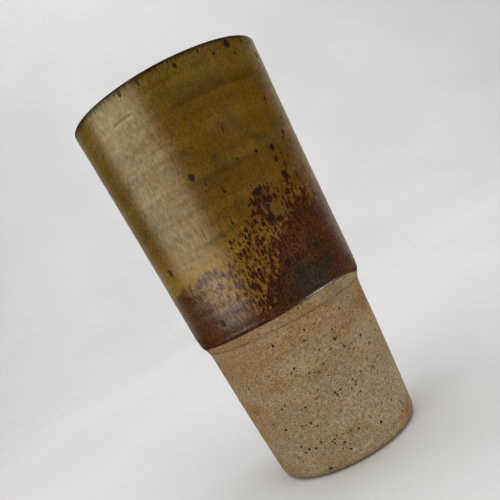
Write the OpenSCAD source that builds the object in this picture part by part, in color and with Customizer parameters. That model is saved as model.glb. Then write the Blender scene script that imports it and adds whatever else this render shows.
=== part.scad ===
// Tall stoneware vase. A bare lower wall carries an inset floor disc, and a wider upper wall
// is luted onto it with a tongue and groove. Glaze coats the upper wall, the lip and the inside.
// Z is the axis of the vase, the foot stands on Z = 0, and the front faces -Y.

/* [Overall] */
// Height from the foot to the top of the lip
height = 280; // [200:1:360]
// Outside diameter at the lip, over the glaze
rim_d = 141; // [114:1:176]
// Outside diameter of the bare clay at the seam
seam_d = 117; // [96:1:142]
// Outside diameter of the foot
base_d = 103; // [84:1:126]
// Height of the seam between the two walls
seam_h = 102; // [60:1:140]

/* [Shoulder] */
// Height of the shoulder curve above the seam
shoulder_rise = 15; // [12:0.5:20]
// How far the shoulder stands out past the seam
shoulder_step = 3.5; // [2:0.5:5]

/* [Clay] */
// Thickness of the upper wall at the shoulder
upper_wall_t = 6; // [4.5:0.5:8]
// Thickness of the clay at the lip
lip_t = 4.5; // [3:0.5:6]
// Rounding of the outer edge of the lip, under the glaze
lip_edge_r = 0.4; // [0.3:0.1:1.5]
// Thickness of the lower wall at the foot
lower_wall_t = 7; // [5:0.5:10]
// Thickness of the floor disc
floor_t = 9; // [5:0.5:14]
// Depth of the recess under the floor disc
foot_recess = 3; // [2:0.5:5]
// Width of the ledge inside the foot that carries the floor disc
ledge_w = 4; // [2:0.5:8]
// Rounding of the outer edge of the foot
foot_edge_r = 6; // [2:0.5:8]

/* [Joints] */
// Thickness of the slip that fills the clay joints
slip_t = 0.5; // [0.3:0.1:1]
// Width of the tongue on top of the lower wall
tongue_w = 2; // [1:0.1:3]
// Height of the tongue
tongue_h = 2.5; // [1.5:0.5:4]

/* [Glaze] */
// Thickness of the glaze coat
glaze_t = 0.8; // [0.4:0.1:1.5]
// Height of the lower edge of the outer glaze above the seam
glaze_edge_rise = 8; // [4:0.5:11]
// Depth of the glaze that pooled on the floor
pool_t = 1.5; // [0.8:0.1:3]
// Radius of the glaze fillet between the floor and the wall
pool_fillet_r = 4; // [2:0.5:8]
// How far an iron spot stands proud of the glaze
spot_proud = 0.3; // [0.2:0.1:0.6]

/* [Hidden] */

$fn = 96;
// Straight stretches that stand for one arc of an outline
arc_steps = 16;

bare_clay = "#9c8862";
wet_slip = "#8a6f48";
olive_glaze = "#6e571f";
dark_glaze = "#2c2418";
inside_glaze = "#5a4a22";
iron_black = "#241a12";

// Shoulder: an arc through the seam whose widest point is shoulder_step further out
seam_r = seam_d / 2;
upper_z = seam_h + slip_t;
shoulder_r = (pow(shoulder_step, 2) + pow(shoulder_rise, 2)) / (2 * shoulder_step);
shoulder_c = [seam_r + shoulder_step - shoulder_r, upper_z + shoulder_rise];
hollow_r = shoulder_r - upper_wall_t;

// Lip: a flat top between a crisp outer edge and a softer inner one, whose coat reaches the
// full height and the rim diameter
lip_inner_r = (lip_t - lip_edge_r) / 2;
lip_out_c = [rim_d / 2 - glaze_t - lip_edge_r, height - glaze_t - lip_edge_r];
lip_in_c = [rim_d / 2 - glaze_t - lip_t + lip_inner_r, height - glaze_t - lip_inner_r];

// Directions, seen from the shoulder's centre, at which its arcs end
out_angle = tangent_angle(shoulder_r, lip_out_c, lip_edge_r);
in_angle = tangent_angle(hollow_r, lip_in_c, -lip_inner_r);
seam_out_angle = -asin(shoulder_rise / shoulder_r);
seam_in_angle = -asin(shoulder_rise / hollow_r);
glaze_edge_angle = asin((glaze_edge_rise - shoulder_rise) / shoulder_r);

// Lower wall, foot and floor
base_r = base_d / 2;
seam_in = shoulder_c[0] + hollow_r * cos(seam_in_angle);
foot_in = base_r - lower_wall_t;
ledge_in = foot_in - ledge_w;
wall_lean = atan((seam_r - base_r) / seam_h);
foot_edge_c = [base_r - foot_edge_r * (1 - sin(wall_lean)) / cos(wall_lean), foot_edge_r];
disc_z = foot_recess + slip_t;
floor_z = disc_z + floor_t;
pool_z = floor_z + pool_t;
liner_z = pool_z + pool_fillet_r;

// Groove midway between the hollow at its top and the outside at the seam, so that it keeps
// even cheeks, and the tongue that it clears by the thickness of the slip
tongue_top = seam_h + tongue_h;
groove_top = tongue_top + slip_t;
hollow_at_groove = shoulder_c[0] + sqrt(pow(hollow_r, 2) - pow(shoulder_c[1] - groove_top, 2));
tongue_mid = (hollow_at_groove + seam_r) / 2;
tongue_in = tongue_mid - tongue_w / 2;
tongue_out = tongue_mid + tongue_w / 2;
groove_in = tongue_in - slip_t;
groove_out = tongue_out + slip_t;

// Ends of the straight stretch of the outer glaze
wall_foot = shoulder_c + (shoulder_r + glaze_t) * direction(out_angle);
wall_head = lip_out_c + (lip_edge_r + glaze_t) * direction(out_angle);

// Iron spots: [degrees round from the front, share of the way up the straight wall, diameter]
spots = [
    [43, 0.98, 5], [69, 0.92, 4.5], [32, 0.955, 2], [10, 0.97, 2.5], [46, 0.935, 2],
    [53, 0.735, 2.5], [62, 0.645, 2.5], [56, 0.59, 3], [-9, 0.58, 4.5], [40, 0.545, 4.5],
    [39, 0.5, 3], [40, 0.43, 5], [3, 0.475, 2], [19, 0.415, 4.5], [19, 0.305, 5],
    [23, 0.29, 2.5], [-54, 0.3, 4], [38, 0.13, 3.5], [16, 0.125, 5], [23, 0.115, 3.5],
    [32, 0.055, 4.5], [-35, 0.03, 4.5], [66, 0.02, 3], [105, 0.8, 4], [128, 0.36, 5],
    [150, 0.62, 3], [172, 0.16, 4.5], [196, 0.88, 3], [215, 0.3, 4], [238, 0.55, 3.5],
    [262, 0.12, 5], [284, 0.72, 3]
];

// Unit vector at an angle in the half-plane of the outlines
function direction(angle) = [cos(angle), sin(angle)];

// Points along an arc of an outline
function arc(centre, radius, from, to) = [
    for (i = [0 : arc_steps])
        centre + radius * direction(from + (to - from) * i / arc_steps)
];

// Direction square to the line that touches the shoulder circle and one side of a lip edge
function tangent_angle(circle_r, edge_c, edge_side) =
    let (span = edge_c - shoulder_c)
    atan2(span[1], span[0]) - acos((circle_r - edge_side) / norm(span));

// Inside radius of the lower wall at a height
function inside_r(z) = foot_in + (seam_in - foot_in) * z / seam_h;

// Outer surface of the upper wall, coat thickness past the clay, from the glaze edge to the lip
function outer_path(coat) = concat(
    arc(shoulder_c, shoulder_r + coat, glaze_edge_angle, out_angle),
    [lip_out_c + (lip_edge_r + coat) * direction(out_angle)]
);

// Inner surface of both walls, coat thickness past the clay, from the lip down to the pool
function inner_path(coat) = concat(
    [lip_in_c - (lip_inner_r + coat) * direction(in_angle)],
    arc(shoulder_c, hollow_r - coat, in_angle, seam_in_angle),
    [[seam_in - coat, seam_h], [inside_r(liner_z) - coat, liner_z]]
);

// Over the lip, coat thickness past the clay, from the outside to the inside
function lip_path(coat) = concat(
    arc(lip_out_c, lip_edge_r + coat, out_angle, 90),
    arc(lip_in_c, lip_inner_r + coat, 90, 180 + in_angle)
);

function reversed(points) = [for (i = [len(points) - 1 : -1 : 0]) points[i]];

function without_last(points) = [for (i = [0 : len(points) - 2]) points[i]];

// Ring whose cross-section is a closed outline
module turned(outline) {
    rotate_extrude()
        polygon(outline);
}

module base_disc() {
    color(bare_clay)
        turned([
            [0, disc_z],
            [inside_r(disc_z) - slip_t, disc_z],
            [inside_r(floor_z) - slip_t, floor_z],
            [0, floor_z]
        ]);
}

module foot_slip() {
    color(wet_slip)
        turned([
            [ledge_in, foot_recess],
            [inside_r(foot_recess), foot_recess],
            [inside_r(floor_z), floor_z],
            [inside_r(floor_z) - slip_t, floor_z],
            [inside_r(disc_z) - slip_t, disc_z],
            [ledge_in, disc_z]
        ]);
}

module lower_wall() {
    color(bare_clay)
        turned(concat(
            arc(foot_edge_c, foot_edge_r, -90, -wall_lean),
            [
                [seam_r, seam_h],
                [tongue_out, seam_h],
                [tongue_out, tongue_top],
                [tongue_in, tongue_top],
                [tongue_in, seam_h],
                [seam_in, seam_h],
                [inside_r(foot_recess), foot_recess],
                [ledge_in, foot_recess],
                [ledge_in, 0]
            ]
        ));
}

module seam_slip() {
    color(wet_slip)
        turned([
            [seam_in, seam_h],
            [tongue_in, seam_h],
            [tongue_in, tongue_top],
            [tongue_out, tongue_top],
            [tongue_out, seam_h],
            [seam_r, seam_h],
            [seam_r, upper_z],
            [groove_out, upper_z],
            [groove_out, groove_top],
            [groove_in, groove_top],
            [groove_in, upper_z],
            [seam_in, upper_z]
        ]);
}

module upper_wall() {
    color(bare_clay)
        turned(concat(
            without_last(arc(shoulder_c, shoulder_r, seam_out_angle, glaze_edge_angle)),
            without_last(outer_path(0)),
            lip_path(0),
            arc(shoulder_c, hollow_r, in_angle, seam_in_angle),
            [
                [groove_in, upper_z],
                [groove_in, groove_top],
                [groove_out, groove_top],
                [groove_out, upper_z]
            ]
        ));
}

module outer_glaze() {
    color(olive_glaze)
        turned(concat(outer_path(glaze_t), reversed(outer_path(0))));
}

module lip_glaze() {
    color(dark_glaze)
        turned(concat(lip_path(glaze_t), reversed(lip_path(0))));
}

module liner_glaze() {
    color(inside_glaze)
        turned(concat(inner_path(0), reversed(inner_path(glaze_t))));
}

module floor_glaze() {
    rim_in = inside_r(liner_z) - glaze_t;
    color(inside_glaze)
        turned(concat(
            [
                [0, floor_z],
                [inside_r(floor_z), floor_z],
                [inside_r(liner_z), liner_z]
            ],
            arc([rim_in - pool_fillet_r, liner_z], pool_fillet_r, 0, -90),
            [[0, pool_z]]
        ));
}

// Round pin through the glaze surface, square to the straight wall
module spot_pin(turn, share, diameter) {
    spot_c = wall_foot + share * (wall_head - wall_foot);
    rotate([0, 0, turn - 90])
        translate([spot_c[0], 0, spot_c[1]])
            rotate([0, 90 - out_angle, 0])
                cylinder(h = 4 * spot_proud, d = diameter, center = true);
}

// Everything inside the straight stretch of the outer glaze, or proud of it
module wall_cone(proud) {
    lift = proud / cos(out_angle);
    translate([0, 0, wall_foot[1]])
        cylinder(h = wall_head[1] - wall_foot[1], r1 = wall_foot[0] + lift, r2 = wall_head[0] + lift);
}

module iron_spots() {
    color(iron_black)
        difference() {
            intersection() {
                for (spot = spots)
                    spot_pin(spot[0], spot[1], spot[2]);
                wall_cone(spot_proud);
            }
            wall_cone(0);
        }
}

base_disc();
foot_slip();
lower_wall();
seam_slip();
upper_wall();
outer_glaze();
lip_glaze();
liner_glaze();
floor_glaze();
iron_spots();
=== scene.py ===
import math

import bmesh
import bpy
import numpy as np
from mathutils import Matrix, Vector


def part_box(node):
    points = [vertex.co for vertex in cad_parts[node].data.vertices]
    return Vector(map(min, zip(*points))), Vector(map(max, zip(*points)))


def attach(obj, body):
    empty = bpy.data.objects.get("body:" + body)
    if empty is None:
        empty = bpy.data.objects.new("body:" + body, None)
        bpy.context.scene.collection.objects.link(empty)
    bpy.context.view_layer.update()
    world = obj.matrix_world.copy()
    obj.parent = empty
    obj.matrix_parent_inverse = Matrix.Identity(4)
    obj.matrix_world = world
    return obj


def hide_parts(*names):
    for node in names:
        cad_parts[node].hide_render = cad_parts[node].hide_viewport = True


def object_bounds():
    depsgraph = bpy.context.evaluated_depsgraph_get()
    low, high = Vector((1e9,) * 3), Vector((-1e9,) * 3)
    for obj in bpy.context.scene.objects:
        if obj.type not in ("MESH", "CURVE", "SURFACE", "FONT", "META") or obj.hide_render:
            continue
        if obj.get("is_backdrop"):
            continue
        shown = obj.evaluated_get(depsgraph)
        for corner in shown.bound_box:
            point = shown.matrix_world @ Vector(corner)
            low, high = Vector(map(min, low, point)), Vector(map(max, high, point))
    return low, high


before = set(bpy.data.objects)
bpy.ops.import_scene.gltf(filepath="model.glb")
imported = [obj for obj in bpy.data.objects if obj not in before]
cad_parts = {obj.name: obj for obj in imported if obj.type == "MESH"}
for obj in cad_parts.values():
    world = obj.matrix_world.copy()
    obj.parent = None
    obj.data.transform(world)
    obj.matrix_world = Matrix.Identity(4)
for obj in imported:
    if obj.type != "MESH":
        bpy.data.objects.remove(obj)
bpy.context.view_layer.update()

# Lengths are in metres. Angles round the vase start at the front, -Y, and grow towards +X.
MM = 0.001
PI = math.pi
DEG = PI / 180

# Sizes that the frame gives
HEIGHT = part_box("lip_glaze")[1].z
RIM_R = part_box("lip_glaze")[1].x
SEAM_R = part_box("seam_slip")[1].x
SEAM_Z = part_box("seam_slip")[0].z
UPPER_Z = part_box("upper_wall")[0].z
POOL_RIM_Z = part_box("floor_glaze")[1].z
FLOOR_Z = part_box("base_disc")[1].z
DISC_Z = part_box("base_disc")[0].z

# Sizes of the outline that a box does not show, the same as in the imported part
BASE_R = 51.5 * MM
SHOULDER_RISE = 15 * MM
SHOULDER_STEP = 3.5 * MM
UPPER_WALL_T = 6 * MM
LIP_T = 4.5 * MM
LIP_EDGE_R = 0.4 * MM
LOWER_WALL_T = 7 * MM
LEDGE_W = 4 * MM
FOOT_EDGE_R = 6 * MM
TONGUE_W = 2 * MM
TONGUE_H = 2.5 * MM
GLAZE_T = 0.8 * MM
GLAZE_EDGE_RISE = 8 * MM
POOL_T = 1.5 * MM
POOL_FILLET_R = 4 * MM
SLIP_T = UPPER_Z - SEAM_Z
FOOT_RECESS = DISC_Z - SLIP_T

# Faces round a ring, and the angles of their corners
TURNS = 448
AZ = np.arange(TURNS) * 2 * PI / TURNS
AZ_ROW = AZ[None, :]

# The camera is rolled, because the vase stands upright and the picture shows it leaning
CAMERA_AT = Vector((0.18 * MM, -463.86 * MM, 164.79 * MM))
CAMERA_PITCH = -1.501 * DEG
CAMERA_YAW = 0.0007
CAMERA_ROLL = -27.94 * DEG
CAMERA_LENS = 46.8
CAMERA_SENSOR = 36


def add_object(name, data):
    added = bpy.data.objects.new(name, data)
    bpy.context.scene.collection.objects.link(added)
    return added


def make_camera():
    data = bpy.data.cameras.new("camera")
    data.lens = CAMERA_LENS
    data.sensor_width = CAMERA_SENSOR
    data.sensor_fit = "HORIZONTAL"
    camera = add_object("camera", data)
    turn = Matrix.Rotation(-CAMERA_YAW, 4, "Z")
    turn = turn @ Matrix.Rotation(PI / 2 + CAMERA_PITCH, 4, "X")
    turn = turn @ Matrix.Rotation(CAMERA_ROLL, 4, "Z")
    camera.matrix_world = Matrix.Translation(CAMERA_AT) @ turn
    bpy.context.scene.camera = camera


make_camera()
bpy.context.scene.view_settings.view_transform = "Standard"


# Outline of the vase, in the half-plane of radius and height
def direction(angle):
    return np.array([math.cos(angle), math.sin(angle)])


def tangent_angle(circle_r, edge_c, edge_side):
    """Angle of the normal of a line that touches the shoulder's circle and a lip circle."""
    span = edge_c - SHOULDER_C
    return math.atan2(span[1], span[0]) - math.acos((circle_r - edge_side) / np.hypot(*span))


SHOULDER_R = (SHOULDER_STEP ** 2 + SHOULDER_RISE ** 2) / (2 * SHOULDER_STEP)
SHOULDER_C = np.array([SEAM_R + SHOULDER_STEP - SHOULDER_R, UPPER_Z + SHOULDER_RISE])
HOLLOW_R = SHOULDER_R - UPPER_WALL_T
LIP_INNER_R = (LIP_T - LIP_EDGE_R) / 2
LIP_OUT_C = np.array([RIM_R - GLAZE_T - LIP_EDGE_R, HEIGHT - GLAZE_T - LIP_EDGE_R])
LIP_IN_C = np.array([RIM_R - GLAZE_T - LIP_T + LIP_INNER_R, HEIGHT - GLAZE_T - LIP_INNER_R])
OUT_ANGLE = tangent_angle(SHOULDER_R, LIP_OUT_C, LIP_EDGE_R)
IN_ANGLE = tangent_angle(HOLLOW_R, LIP_IN_C, -LIP_INNER_R)
SEAM_OUT_ANGLE = -math.asin(SHOULDER_RISE / SHOULDER_R)
SEAM_IN_ANGLE = -math.asin(SHOULDER_RISE / HOLLOW_R)
EDGE_ANGLE = math.asin((GLAZE_EDGE_RISE - SHOULDER_RISE) / SHOULDER_R)
EDGE_Z = SHOULDER_C[1] + (SHOULDER_R + GLAZE_T) * math.sin(EDGE_ANGLE)
SEAM_IN = SHOULDER_C[0] + HOLLOW_R * math.cos(SEAM_IN_ANGLE)
FOOT_IN = BASE_R - LOWER_WALL_T
LEDGE_IN = FOOT_IN - LEDGE_W
WALL_LEAN = math.atan((SEAM_R - BASE_R) / SEAM_Z)
POOL_Z = FLOOR_Z + POOL_T
WALL_FOOT = SHOULDER_C + (SHOULDER_R + GLAZE_T) * direction(OUT_ANGLE)
WALL_HEAD = LIP_OUT_C + (LIP_EDGE_R + GLAZE_T) * direction(OUT_ANGLE)


def inside_r(z):
    return FOOT_IN + (SEAM_IN - FOOT_IN) * z / SEAM_Z


def smooth(value, start, end):
    share = np.clip((value - start) / (end - start), 0, 1)
    return share * share * (3 - 2 * share)


def bump_at(value, centre, width):
    return np.exp(-((value - centre) / width) ** 2)


def turn_gap(az, centre):
    """Signed angle from centre to az, the short way round."""
    return (az - centre + PI) % (2 * PI) - PI


# Degrees round in half steps, and the reach in degrees over which table rows blend
HALF_DEGREES = np.arange(720) / 2
BLEND_REACH = 5


def around(rows, column=1):
    """Smooth function of the angle through rows that start with the degrees round."""
    turns = [row[0] for row in rows]
    levels = [row[column] for row in rows]
    values = np.interp(HALF_DEGREES, turns, levels, period=360)
    near = np.minimum(HALF_DEGREES, 360 - HALF_DEGREES)
    window = np.exp(-(near / BLEND_REACH) ** 2)
    spread = np.fft.rfft(window / window.sum())
    values = np.fft.irfft(np.fft.rfft(values) * spread, len(HALF_DEGREES))
    return lambda az: np.interp(np.degrees(az), HALF_DEGREES, values, period=360)


# Hand-made unevenness
def ripple(seed, waves, turns, pitch):
    """Smooth uneven field on the wall: waves sines, up to turns round and at least pitch tall."""
    draw = np.random.default_rng(seed)
    rows = []
    for _ in range(waves):
        lobes = int(draw.integers(0, turns + 1))
        along = draw.uniform(0.25, 1) * 2 * PI / pitch
        rows.append((lobes, along * draw.choice([-1, 1]), draw.uniform(0, 2 * PI)))

    def field(az, z):
        total = 0
        for lobes, along, phase in rows:
            total = total + np.sin(lobes * az + along * z + phase)
        return total / math.sqrt(len(rows))

    return field


broad_dents = ripple(3, waves=7, turns=4, pitch=90 * MM)
throwing_rings = ripple(5, waves=9, turns=1, pitch=9 * MM)
fine_rings = ripple(8, waves=9, turns=1, pitch=3.2 * MM)
edge_wander = ripple(11, waves=8, turns=14, pitch=300 * MM)
seam_wander = ripple(13, waves=10, turns=40, pitch=300 * MM)
rust_wander = ripple(17, waves=16, turns=36, pitch=10 * MM)

# Short scratch below the rim, which rises by its slope for each degree round
SCRATCH_AZ = -27 * DEG
SCRATCH_Z = 262.5 * MM
SCRATCH_SLOPE = 0.02 * MM
SCRATCH_HALF_WIDTH = 0.95 * MM
SCRATCH_HALF_TURN = 5.5 * DEG
SCRATCH_END = 7 * DEG
SCRATCH_DEPTH = 0.16 * MM


def scratch(az, z):
    gap = turn_gap(az, SCRATCH_AZ)
    across = bump_at(z, SCRATCH_Z + SCRATCH_SLOPE * gap / DEG, SCRATCH_HALF_WIDTH)
    along = smooth(np.abs(gap), SCRATCH_END, SCRATCH_HALF_TURN)
    return across * along


GLAZE_DENTS = 0.10 * MM
GLAZE_RINGS = 0.045 * MM
GLAZE_FINE_RINGS = 0.015 * MM
GLAZE_ROLL = 0.28 * MM
GLAZE_EDGE_WANDER = 0.16 * MM


def glaze_relief(az, z):
    """Distance of the glaze from its plain outline."""
    share = np.clip((z - WALL_FOOT[1]) / (WALL_HEAD[1] - WALL_FOOT[1]), 0, 1)
    relief = (0.45 - 0.40 * np.sin(PI * share)) * MM
    relief = relief + GLAZE_DENTS * broad_dents(az, z)
    relief = relief + GLAZE_RINGS * throwing_rings(az, z)
    relief = relief + GLAZE_FINE_RINGS * fine_rings(az, z)
    roll = bump_at(z, EDGE_Z + glaze_edge_shift(az) + 1.2 * MM, 1.6 * MM)
    return relief + GLAZE_ROLL * roll - SCRATCH_DEPTH * scratch(az, z)


# Lower edge of the outer glaze: degrees round, and millimetres above or below its usual height
EDGE_LINE = [
    (-80, -3.6), (-60, -2.8), (-40, -1.8), (-20, -0.8), (0, 0), (15, 0.7), (30, 1.4), (45, 1.1),
    (55, 0), (70, -3.4), (80, -3.8), (100, -3), (140, -0.5), (180, 0.4), (220, -0.6), (260, -2.6),
]
edge_line = around(EDGE_LINE)


def glaze_edge_shift(az):
    return MM * edge_line(az) + GLAZE_EDGE_WANDER * edge_wander(az, 0)


CLAY_DENTS = 0.07 * MM
CLAY_RINGS = 0.035 * MM
CLAY_FINE_RINGS = 0.02 * MM
SEAM_SWELL = 0.9 * MM
TOOL_LINE_DEPTH = 0.10 * MM


def clay_relief(az, z):
    """Distance of the bare clay from its plain outline."""
    relief = (0.3 + 0.36 * np.sin(PI * np.clip(z / SEAM_Z, 0, 1))) * MM
    relief = relief + SEAM_SWELL * bump_at(z, SEAM_Z + 2.5 * MM, 4.6 * MM)
    relief = relief + CLAY_DENTS * broad_dents(az + 1, z)
    relief = relief + CLAY_RINGS * throwing_rings(az, z)
    relief = relief + CLAY_FINE_RINGS * fine_rings(az, z)
    tool_line = bump_at(z, SEAM_Z - 2.9 * MM + 0.3 * MM * np.sin(2 * az), 0.7 * MM)
    return relief - TOOL_LINE_DEPTH * tool_line * smooth(np.cos(az - 0.4), -0.2, 0.6)


WARP_FROM_Z = 120 * MM
OVAL_SHARE = 0.0022
OVAL_TURN = 0.5
RIM_DROP = 0.2 * MM
RIM_TILT = 1.1 * MM


def warp(x, y, z):
    """Slightly oval rim, a touch higher towards +X."""
    rise = smooth(z, WARP_FROM_Z, HEIGHT)
    swell = OVAL_SHARE * rise * np.cos(2 * (np.arctan2(x, -y) - OVAL_TURN))
    lifted = z + rise * (RIM_TILT * x / RIM_R - RIM_DROP)
    return x * (1 + swell), y * (1 + swell), lifted


def to_space(r, z, az):
    x, y, z = warp(r * np.sin(az), -r * np.cos(az), z)
    return np.stack(np.broadcast_arrays(x, y, z), axis=-1)


# Meshes
SHARP_ANGLE = 38 * DEG


def new_piece(name, verts, faces, nodes=()):
    mesh = bpy.data.meshes.new(name)
    mesh.from_pydata(verts, [], faces)
    mesh.validate()
    piece = add_object(name, mesh)
    mesh.polygons.foreach_set("use_smooth", [True] * len(mesh.polygons))
    mesh.set_sharp_from_angle(angle=SHARP_ANGLE)
    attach(piece, "root")
    if nodes:
        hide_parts(*nodes)
    return piece


def ring_rows(points):
    """Points of an outline as rows that are the same all the way round."""
    points = np.asarray(points)
    ones = np.ones((1, TURNS))
    return points[:, :1] * ones, points[:, 1:] * ones


def level_rows(radii, heights):
    """Rows at one height each, with a radius that changes round the vase."""
    return np.stack(radii), np.array(heights)[:, None] * np.ones((1, TURNS))


def line(start, end, step):
    start = np.asarray(start)
    end = np.asarray(end)
    count = max(1, math.ceil(np.hypot(*(end - start)) / step))
    return start + (end - start) * np.linspace(0, 1, count + 1)[:, None]


def arc(centre, radius, start, end, steps):
    angles = np.linspace(start, end, steps + 1)
    return np.asarray(centre) + radius * np.stack([np.cos(angles), np.sin(angles)], axis=1)


# Leaves the closing row of faces some height in the UV map
UV_SLACK = 1.001


def turned(name, blocks, nodes, capped=False):
    """Solid of revolution from blocks of rows (radius, height), up the outside and down the inside."""
    r = np.concatenate([block[0] for block in blocks])
    z = np.concatenate([block[1] for block in blocks])
    rows = len(r)
    points = to_space(r, z, AZ_ROW)
    verts = points.reshape(-1, 3).tolist()
    faces = []
    uvs = []
    steps = np.hypot(np.diff(r.mean(axis=1)), np.diff(z.mean(axis=1)))
    along = np.concatenate([[0], np.cumsum(steps)])
    along = along / (along[-1] * UV_SLACK)
    for i in range(rows if not capped else rows - 1):
        k = (i + 1) % rows
        low = along[i]
        high = along[k] if k else 1
        for j in range(TURNS):
            n = (j + 1) % TURNS
            faces.append((i * TURNS + j, i * TURNS + n, k * TURNS + n, k * TURNS + j))
            left = j / TURNS
            right = (j + 1) / TURNS
            uvs.extend((left, low, right, low, right, high, left, high))
    if capped:
        for i, flip in ((0, True), (rows - 1, False)):
            pole = len(verts)
            verts.append(points[i].mean(axis=0).tolist())
            for j in range(TURNS):
                n = (j + 1) % TURNS
                a = i * TURNS + j
                b = i * TURNS + n
                faces.append((b, a, pole) if flip else (a, b, pole))
                uvs.extend((j / TURNS, along[i], (j + 1) / TURNS, along[i], j / TURNS, along[i]))
    piece = new_piece(name, verts, faces, nodes)
    layer = piece.data.uv_layers.new(name="OFBake")
    layer.data.foreach_set("uv", uvs)
    poles = len(verts) - r.size
    turn = np.concatenate([np.broadcast_to(AZ, r.shape).ravel(), np.zeros(poles)])
    height = np.concatenate([z.ravel(), z[[0, -1], 0][:poles]])
    return piece, turn, height


def attribute(piece, name, values):
    layer = piece.data.attributes.new(name, "FLOAT", "POINT")
    layer.data.foreach_set("value", np.asarray(values, dtype=np.float32))


# How far the clay stands back at the seam, at its arris and next to it
ARRIS_BACK = 0.16 * MM
ARRIS_NEAR = 0.05 * MM


def groove_in():
    """Inner radius of the groove in the upper wall."""
    top = SEAM_Z + TONGUE_H + SLIP_T
    hollow = SHOULDER_C[0] + math.sqrt(HOLLOW_R ** 2 - (SHOULDER_C[1] - top) ** 2)
    return (hollow + SEAM_R) / 2 - TONGUE_W / 2 - SLIP_T


# Upper wall: bare band at the shoulder, the rest is under glaze
def make_upper_wall():
    band = arc(SHOULDER_C, SHOULDER_R, SEAM_OUT_ANGLE + 0.012, EDGE_ANGLE + 0.12, 26)
    rows_r, rows_z = ring_rows(band)
    fade = smooth(rows_z, EDGE_Z + 3.6 * MM, EDGE_Z - 2.4 * MM)
    rows_r = rows_r + clay_relief(AZ_ROW, rows_z) * fade
    tip_r, tip_z = ring_rows([[SEAM_R - ARRIS_BACK, UPPER_Z], [SEAM_R - ARRIS_NEAR, UPPER_Z + ARRIS_NEAR]])
    tip_r = tip_r + clay_relief(AZ_ROW, tip_z)
    outside = arc(SHOULDER_C, SHOULDER_R, EDGE_ANGLE + 0.14, OUT_ANGLE, 6)
    lip = np.concatenate([
        arc(LIP_OUT_C, LIP_EDGE_R, OUT_ANGLE, PI / 2, 6),
        arc(LIP_IN_C, LIP_INNER_R, PI / 2, PI + IN_ANGLE, 10),
    ])
    hollow = arc(SHOULDER_C, HOLLOW_R, IN_ANGLE, SEAM_IN_ANGLE, 10)
    top = SEAM_Z + TONGUE_H + SLIP_T
    near = groove_in()
    far = near + TONGUE_W + 2 * SLIP_T
    groove = [[near, UPPER_Z], [near, top], [far, top], [far, UPPER_Z]]
    blocks = [(tip_r, tip_z), (rows_r, rows_z)]
    blocks += [ring_rows(points) for points in (outside, lip, hollow, groove)]
    return turned("upper_wall_clay", blocks, ["upper_wall"])


def make_seam_slip():
    inner = groove_in()
    top = SEAM_Z + TONGUE_H
    depth = (0.05 + 0.12 * seam_wander(AZ, 0)) * MM
    outer_r = SEAM_R + clay_relief(AZ, UPPER_Z) - np.clip(depth, -0.06 * MM, 0.28 * MM)
    bulge = outer_r + 0.08 * MM
    lower = level_rows([outer_r, bulge], [SEAM_Z, SEAM_Z + 0.2 * MM])
    upper = level_rows([bulge, outer_r], [UPPER_Z - 0.15 * MM, UPPER_Z])
    near = inner + SLIP_T
    far = near + TONGUE_W
    tongue = [[SEAM_IN, SEAM_Z], [near, SEAM_Z], [near, top], [far, top], [far, SEAM_Z]]
    outer = inner + TONGUE_W + 2 * SLIP_T
    roof = top + SLIP_T
    groove = [[outer, UPPER_Z], [outer, roof], [inner, roof], [inner, UPPER_Z], [SEAM_IN, UPPER_Z]]
    blocks = [ring_rows(tongue), lower, upper, ring_rows(groove)]
    return turned("seam_slip_line", blocks, ["seam_slip"])


def lower_rows(points):
    rows_r, rows_z = ring_rows(points)
    return rows_r + clay_relief(AZ_ROW, rows_z), rows_z


FOOT_WEAR = 0.16 * MM
LEDGE_BEVEL = 0.3 * MM
LEDGE_FOOT = 0.8 * MM


def make_lower_wall():
    edge_c = [BASE_R - FOOT_EDGE_R * (1 - math.sin(WALL_LEAN)) / math.cos(WALL_LEAN), FOOT_EDGE_R]
    edge = arc(edge_c, FOOT_EDGE_R, -PI / 2, -WALL_LEAN, 14)
    head = np.array([SEAM_R, SEAM_Z])
    slope = direction(PI / 2 - WALL_LEAN)
    wall = line(edge[-1], head - 0.5 * MM * slope, 0.95 * MM)[1:]
    edge_r, edge_z = ring_rows(edge)
    wear = FOOT_WEAR * np.abs(edge_wander(AZ_ROW, 0)) * smooth(edge_z, 3 * MM, 0)
    edge_rows = (edge_r - wear + clay_relief(AZ_ROW, edge_z) * smooth(edge_z, 0, 1.5 * MM), edge_z)
    near = groove_in() + SLIP_T
    far = near + TONGUE_W
    top = SEAM_Z + TONGUE_H
    rim = [[far, SEAM_Z], [far, top], [near, top], [near, SEAM_Z], [SEAM_IN, SEAM_Z]]
    inside = line([SEAM_IN, SEAM_Z], [inside_r(FOOT_RECESS), FOOT_RECESS], 12 * MM)[1:]
    ledge = [[LEDGE_IN, FOOT_RECESS], [LEDGE_IN + LEDGE_BEVEL, LEDGE_BEVEL], [LEDGE_IN + LEDGE_FOOT, 0]]
    tip = lower_rows([[SEAM_R - ARRIS_NEAR, SEAM_Z - 0.12 * MM], [SEAM_R - ARRIS_BACK, SEAM_Z]])
    blocks = [edge_rows, lower_rows(wall), tip, ring_rows(rim), ring_rows(inside), ring_rows(ledge)]
    return turned("lower_wall_clay", blocks, ["lower_wall"])


# Radius of the first ring round a pole, and the spacing of the turning marks under the floor
POLE_R = 0.4 * MM
SPIRAL_PITCH = 3.4 * MM
GRAIN_PITCH = 0.9 * MM


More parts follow.
